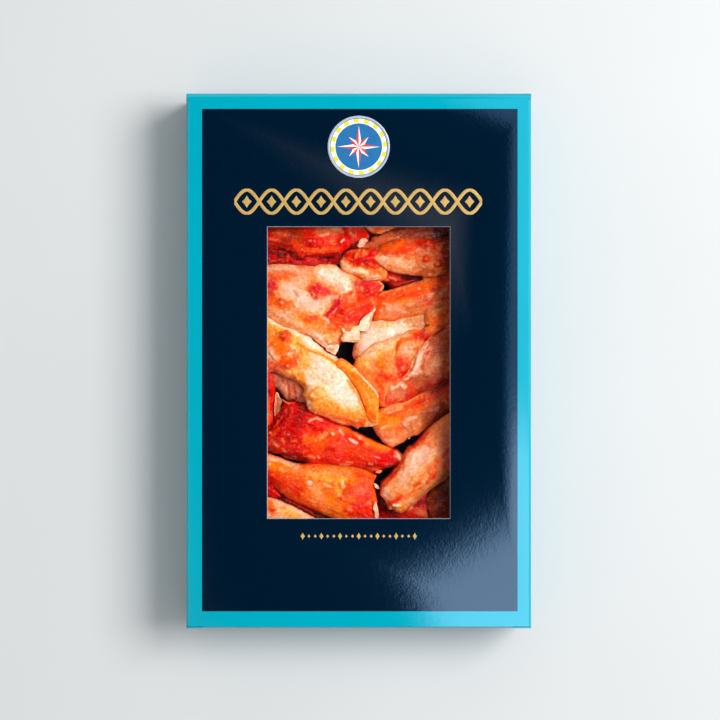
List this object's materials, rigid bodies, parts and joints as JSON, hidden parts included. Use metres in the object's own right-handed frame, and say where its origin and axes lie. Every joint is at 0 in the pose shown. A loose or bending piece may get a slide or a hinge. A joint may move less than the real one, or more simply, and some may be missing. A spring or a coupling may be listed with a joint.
{
  "type": "windowed carton of king crab leg meat",
  "caption": "Shut rectangular paperboard carton of shelled, cooked crab leg meat, with a clear film window in its front panel and tuck closures at both ends.",
  "frame": {"origin": "under the middle of the back panel, on the surface that the carton lies on", "axes": "+X across the carton, +Y along it towards the top closure, +Z out of the front panel"},
  "size_m": [0.164, 0.254, 0.032],
  "materials": {
    "printed_board": "satin varnish over teal and navy print",
    "clear_film": "clear glossy plastic film",
    "black_sheet": "glossy formed sheet",
    "cream_meat": "moist, fibrous",
    "orange_meat": "moist, fibrous",
    "red_meat": "moist, fibrous",
    "salmon_meat": "moist, fibrous",
    "brown_meat": "moist, fibrous"
  },
  "bodies": {
    "root": {"carton": "printed_board", "window_film": "clear_film", "tray": "black_sheet", "claw_cream_left": "cream_meat", "flap_of_claw": "orange_meat", "leg_cream_bottom_right": "cream_meat", "claw_top_right": "orange_meat", "knuckle_top_right": "cream_meat", "leg_top_left": "red_meat", "merus_left": "cream_meat", "leg_orange_right": "orange_meat", "lobe_right": "cream_meat", "body_right": "orange_meat", "shoulder_right": "salmon_meat", "underside_of_claw": "salmon_meat", "leg_red_left": "red_meat", "leg_salmon_right": "salmon_meat", "leg_orange_bottom_left": "orange_meat", "leg_bottom_left": "salmon_meat", "leg_top_behind": "salmon_meat", "tip_top_centre": "orange_meat", "strip_top": "red_meat", "underside_top_right": "red_meat", "strip_left_edge": "red_meat", "leg_brown_corner": "brown_meat", "strip_bottom": "red_meat"}
  },
  "joints": []
}
